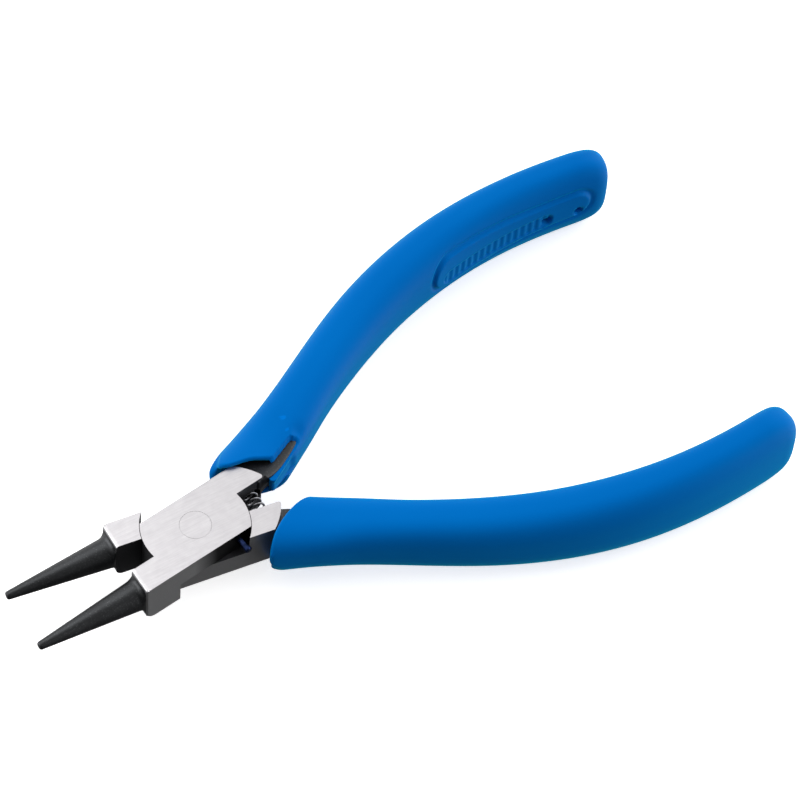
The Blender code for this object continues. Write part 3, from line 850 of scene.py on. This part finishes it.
def section_angles():
    """Section angles with close spacing on the inner side and the closest at its upper edge."""
    dense = np.linspace(0, 2 * np.pi, SECTION_SAMPLES)
    x, y = superellipse(dense, SLEEVE_EXPONENT)
    x, y = x * SECTION_HALF[0], y * SECTION_HALF[1]
    step = np.hypot(np.diff(x), np.diff(y))
    middle_x, middle_y = (x[1:] + x[:-1]) / 2, (y[1:] + y[:-1]) / 2
    spacing = np.where(middle_x < INNER_FROM, INNER_SPACING, PLAIN_SPACING)
    spacing = np.where((middle_x < EDGE_FROM[0]) & (middle_y > EDGE_FROM[1]), EDGE_SPACING, spacing)
    count = np.concatenate([[0], np.cumsum(step / spacing)])
    wanted = np.arange(round(count[-1])) * count[-1] / round(count[-1])
    return np.interp(wanted, count, dense)


def rim_distance(side, across, up):
    """Where the mouth's rim lies along the sleeve, at a point across and up."""
    rim = RIM_OFFSET + RIM_SLOPE * across + RIM_CURVE * across**2
    above = smoothstep(up / NOSE_SWEEP_HEIGHT)
    rim = rim + SLOT_SETBACK[side] * above
    rim = rim + NOSE_SWEEP[side] * above * smoothstep((across - NOSE_FROM) / NOSE_RAMP)
    lobe = LOBE_REACH[side] * above * smoothstep(across / LOBE_RAMP)
    rim = rim - lobe * smoothstep((LOBE_TO - across) / LOBE_TO_RAMP)
    tongue = (smoothstep((up - TONGUE_BOTTOM[side]) / TONGUE_BOTTOM_RAMP + 0.5)
              * smoothstep((TONGUE_SIDE - across) / TONGUE_SIDE_RAMP))
    return rim + tongue * np.minimum(TONGUE_AT - rim, 0)


def section_points(distance, unit, inset):
    """Across and up on the sleeve's section at each distance, moved in from its skin."""
    sizes = sizes_at(SLEEVE_STATIONS, distance)
    unit_x, unit_y = unit
    half = np.where(unit_x > 0, sizes[..., 0], sizes[..., 1]) - inset
    return half * unit_x, (sizes[..., 2] - inset) * unit_y


def mouth_rows(side, unit):
    """Rows of (distance, inset) from inside the mouth, round the lip and out to the skin."""
    outer = LIP_ROUND + (LIP_ROUND_NOSE - LIP_ROUND) * smoothstep((unit[0] - LIP_NOSE_FROM) / LIP_NOSE_RAMP)
    inner = LIP_INNER_ROUND
    inner_turns = np.linspace(0, math.pi / 2, LIP_INNER_STEPS)
    outer_turns = np.linspace(0, math.pi / 2, LIP_STEPS)[1:]
    steps = [(outer + inner, MOUTH_DEPTH * t) for t in MOUTH_ROWS]
    steps += [(outer + inner * math.cos(a), inner * (1 - math.sin(a))) for a in inner_turns]
    steps += [(outer * (1 - math.sin(a)), outer * (1 - math.cos(a))) for a in outer_turns]
    rows = []
    for inset, behind in steps:
        distance = np.full(unit[0].shape, RIM_GUESS)
        for _ in range(RIM_ROUNDS):
            across, up = section_points(distance, unit, inset)
            distance = rim_distance(side, across, up) + behind
        rows.append((distance, inset))
    return rows


def sleeve_rows(side, end, unit):
    """Rows of (distance, inset): the mouth, slanted ones that turn square, then square ones to the rounded end."""
    rows = mouth_rows(side, unit)
    start = rows[-1][0]
    skin = np.zeros(start.shape)
    rows += [(start + (SQUARE_FROM - start) * t, skin) for t in np.linspace(0, 1, SLANTED_ROWS)[1:]]
    round_length = END_ROUND_LENGTH.max()
    fine = np.arange(FINE_FROM, end - round_length, FINE_PITCH)
    rounded = [end - round_length * (1 - math.sin(math.pi / 2 * t)) for t in np.linspace(0, 1, END_ROWS)]
    rows += [(np.full(start.shape, distance), skin) for distance in np.concatenate([PLAIN_ROWS, fine, rounded])]
    return rows


def slot_depth(distance, across, up):
    """How far the skin drops in the slot along the upper inner edge and in the dimple past its end."""
    flare = SLOT_FLARE * np.clip(distance, -SLOT_FLARE_REACH, 0) ** 2
    edge = SLOT_EDGE + SLOT_TAPER * np.maximum(distance, 0) + flare
    from_edge = SLOT_CORNER - (edge - across)
    from_end = SLOT_CORNER - (SLOT_END - distance)
    inside = SLOT_CORNER - np.hypot(np.maximum(from_edge, 0), np.maximum(from_end, 0))
    depth = smoothstep(inside / SLOT_WALL + 0.5) * np.clip(up - SLOT_FLOOR, 0, None)
    dimple = DIMPLE_DEPTH * np.exp(-(((distance - DIMPLE_AT[0]) / DIMPLE_SIZE[0]) ** 2)
                                   - ((across - DIMPLE_AT[1]) / DIMPLE_SIZE[1]) ** 2) * (up > 0)
    return np.maximum(depth, dimple)


def outside_oval(distance, up, span, centre, half):
    """How far a point on the side lies outside an oval with round ends."""
    beyond = np.maximum(span[0] + half - distance, distance - (span[1] - half))
    return np.hypot(np.maximum(beyond, 0), up - centre) - half


def pad_relief(distance, across, up):
    """How far the skin stands out at the pad, with its groove, ribbed recess and holes."""
    span = PAD_STATIONS[0, 0], PAD_STATIONS[-1, 0]
    centre, half = np.moveaxis(sizes_at(PAD_STATIONS, np.clip(distance, *span)), -1, 0)
    outside = outside_oval(distance, up, span, centre, half)
    rise = PAD_RISE * smoothstep(0.5 - outside / PAD_EDGE)
    rise -= GROOVE_DEPTH * np.exp(-(((outside - GROOVE_AT) / GROOVE_WIDTH) ** 2))
    recess = smoothstep(0.5 - outside_oval(distance, up, RECESS_SPAN, RECESS_CENTRE, RECESS_HALF) / PAD_EDGE)
    along = distance / RIB_PITCH
    rib = smoothstep(RIB_WIDTH - RIB_STEEPNESS * np.abs(along - np.round(along)))
    rise += recess * (RIB_RISE * rib - RECESS_DEPTH)
    for hole_distance, hole_up, radius in HOLES:
        reach = np.hypot(distance - hole_distance, up - hole_up)
        rise -= HOLE_DEPTH * smoothstep((radius - reach) / HOLE_EDGE + 0.5)
    return np.where(across < 0, rise, 0)


def inner_step(side, distance, up):
    """How far the inner side steps in behind the mouth, over the middle of its height."""
    step = INNER_STEP[side] * smoothstep((INNER_STEP_AT - distance) / INNER_STEP_RAMP + 0.5)
    return (step * smoothstep((up - INNER_STEP_FOOT) / INNER_STEP_RISE)
            * smoothstep((INNER_STEP_TOP - up) / INNER_STEP_FALL))


def end_cap(end, across, up):
    """Rows that close the sleeve: a small rounded lip, then a flat end."""
    turns = [math.pi / 2 * i / END_LIP_STEPS for i in range(1, END_LIP_STEPS + 1)]
    steps = [(1 - END_LIP * (1 - math.cos(turn)) / END_LIP_SPAN, END_LIP_REACH * math.sin(turn)) for turn in turns]
    steps += [(scale, END_LIP_REACH) for scale in END_CAP_SCALES]
    return [HANDLE.points(np.full(across.shape, end + forward), across * scale, up * scale)
            for scale, forward in steps]


def sleeve_mesh(side):
    """A moulded sleeve with its mouth, slot, pad and rounded end."""
    end = SLEEVE_END[side] - END_LIP_REACH
    unit = superellipse(section_angles(), SLEEVE_EXPONENT)
    distance, inset = (np.array(values) for values in zip(*sleeve_rows(side, end, unit)))
    sizes = sizes_at(SLEEVE_STATIONS, distance)
    into = np.clip(1 - (end - distance[..., None]) / END_ROUND_LENGTH, 0, 1)
    sizes = sizes - END_ROUND_DEPTH * (1 - np.sqrt(1 - into**2))
    unit_x, unit_y = unit
    across = (np.where(unit_x > 0, sizes[..., 0], sizes[..., 1]) - inset) * unit_x
    up = (sizes[..., 2] - inset) * unit_y
    relief = pad_relief(distance, across, up) * (distance > PAD_AFTER)
    across = across - relief + inner_step(side, distance, up) * (across < 0)
    up = up - slot_depth(distance, across, up) * (distance < SLOT_BEFORE)
    points = HANDLE.points(distance, across, up)
    cap = end_cap(end, across[-1], up[-1])
    mesh = grid_mesh(f"grip_{side}", np.concatenate([points, np.array(cap)]))
    mesh.shade_smooth()
    mesh.materials.append(LOOKS["plastic"])
    return mesh


# ---------------------------------------------------------------- loose pieces


def rivet_mesh():
    """A flush rivet with chamfered rims."""
    rim = RIVET_RADIUS
    top = [(HUB * rim, MID), (rim - RIVET_BORDER, MID), (rim - RIVET_CHAMFER, MID), (rim, MID - RIVET_CHAMFER)]
    mesh = turned_mesh("pivot_rivet_head", [(r, -h) for r, h in top] + top[::-1], RIVET_SIDES)
    mesh.transform(Matrix.Translation((0, 0, MID)))
    mesh.shade_smooth()
    mesh.set_sharp_from_angle(angle=RIVET_SHARP)
    mesh.materials.append(LOOKS["rivet"])
    return mesh


def pin_mesh():
    """A round pin with a crowned end that stands out of the upper lever's side."""
    c, r = PIN_CHAMFER, PIN_RADIUS
    crown = [(r - inward * c, -PIN_REACH + back * c) for inward, back in PIN_CROWN]
    profile = [(HUB * r, -PIN_REACH), *crown, (r, -PIN_ROOT), (HUB * r, -PIN_ROOT)]
    mesh = turned_mesh("stop_pin_blued", profile, PIN_SIDES)
    across_lever(mesh, PIN_AT, 0, PIN_HEIGHT)
    mesh.transform(LEVER_FRAME["upper"])
    mesh.shade_smooth()
    mesh.set_sharp_from_angle(angle=PIN_SHARP)
    mesh.materials.append(LOOKS["blued"])
    return mesh


def spring_mesh():
    """A compression spring along Y with closed ends, swept as one tube."""
    per_turn, wire_sides = 40, 16
    turns = np.arange(SPRING_TURNS * per_turn + 1) / per_turn
    closed_pitch = SPRING_CLOSED_PITCH
    half = SPRING_HALF_LENGTH - WIRE_RADIUS
    middle = -half + closed_pitch + (turns - 1) / (SPRING_TURNS - 2) * 2 * (half - closed_pitch)
    y = np.where(turns < 1, -half + closed_pitch * turns,
                 np.where(turns > SPRING_TURNS - 1, half - closed_pitch * (SPRING_TURNS - turns), middle))
    angle = 2 * np.pi * turns
    centre = np.stack([SPRING_RADIUS * np.cos(angle), y, SPRING_RADIUS * np.sin(angle)], -1)
    outward = np.stack([np.cos(angle), 0 * y, np.sin(angle)], -1)
    tangent = np.gradient(centre, axis=0)
    tangent /= np.linalg.norm(tangent, axis=1, keepdims=True)
    side = np.cross(tangent, outward)
    around = 2 * np.pi * np.arange(wire_sides) / wire_sides
    points = (centre[:, None] + WIRE_RADIUS * (np.cos(around)[None, :, None] * outward[:, None]
                                               + np.sin(around)[None, :, None] * side[:, None]))
    mesh = grid_mesh("return_spring_coil", points + np.array([SPRING_X, 0, MID]))
    mesh.shade_smooth()
    mesh.materials.append(LOOKS["spring"])
    return mesh


# ---------------------------------------------------------------- assembly


def place(name, mesh, body, node, slot):
    """Adds a piece that rides on a body and stands for a CAD node."""
    piece = add_object(name, mesh)
    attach(piece, body)
    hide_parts(node)
    return piece


def build():
    for side in ("upper", "lower"):
        body = f"{side}_lever"
        lever = lever_mesh(side)
        lever.transform(LEVER_FRAME[side])
        piece = place(f"lever_{side}_forging", lever, body, f"lever_{side}", "forged_steel")
        soften_edges(piece, EDGE_BREAK)
        sleeve = sleeve_mesh(side)
        sleeve.transform(LEVER_FRAME[side])
        place(f"grip_{side}_sleeve", sleeve, body, f"grip_{side}", "blue_plastic")
    place("pivot_rivet_head", rivet_mesh(), "lower_lever", "pivot_rivet", "ground_steel")
    place("stop_pin_blued", pin_mesh(), "upper_lever", "stop_pin", "blued_steel")
    spring = place("return_spring_coil", spring_mesh(), "lower_lever", "return_spring", "spring_steel")
    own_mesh(spring)


LOOKS = {
    "ground": ground_steel("ground_steel"),
    "rivet": ground_steel("rivet_steel"),
    "gunmetal": black_oxide("gunmetal_sides", **GUNMETAL),
    # Gunmetal painted to black beside the stop pin: painted shade.
    "pin_painted_shade": black_oxide("gunmetal_pin_painted_shade", **GUNMETAL, painted_shade_span=PIN_SIDE_PAINTED_SHADE),
    # Black oxide painted near black for the inner walls and lap floor: partly the oxide's colour, partly painted
    # shade.
    "lap": black_oxide("black_lap_painted_shade", PAINTED_SHADE_BLACK, (0.05, 0.05, 0.055), 0.50, 0.006 * MM),
    "oxide": black_oxide("black_oxide", (0.046, 0.048, 0.051), (0.16, 0.165, 0.17), 0.35, 0.014 * MM),
    "spring": spring_steel(),
    "blued": blued_steel(),
    "plastic": blue_plastic(),
}

bpy.context.scene.view_settings.view_transform = "Standard"
add_camera()
add_world()
add_floor()
for softbox in SOFTBOXES:
    add_softbox(*softbox)
build()

bpy.context.view_layer.update()
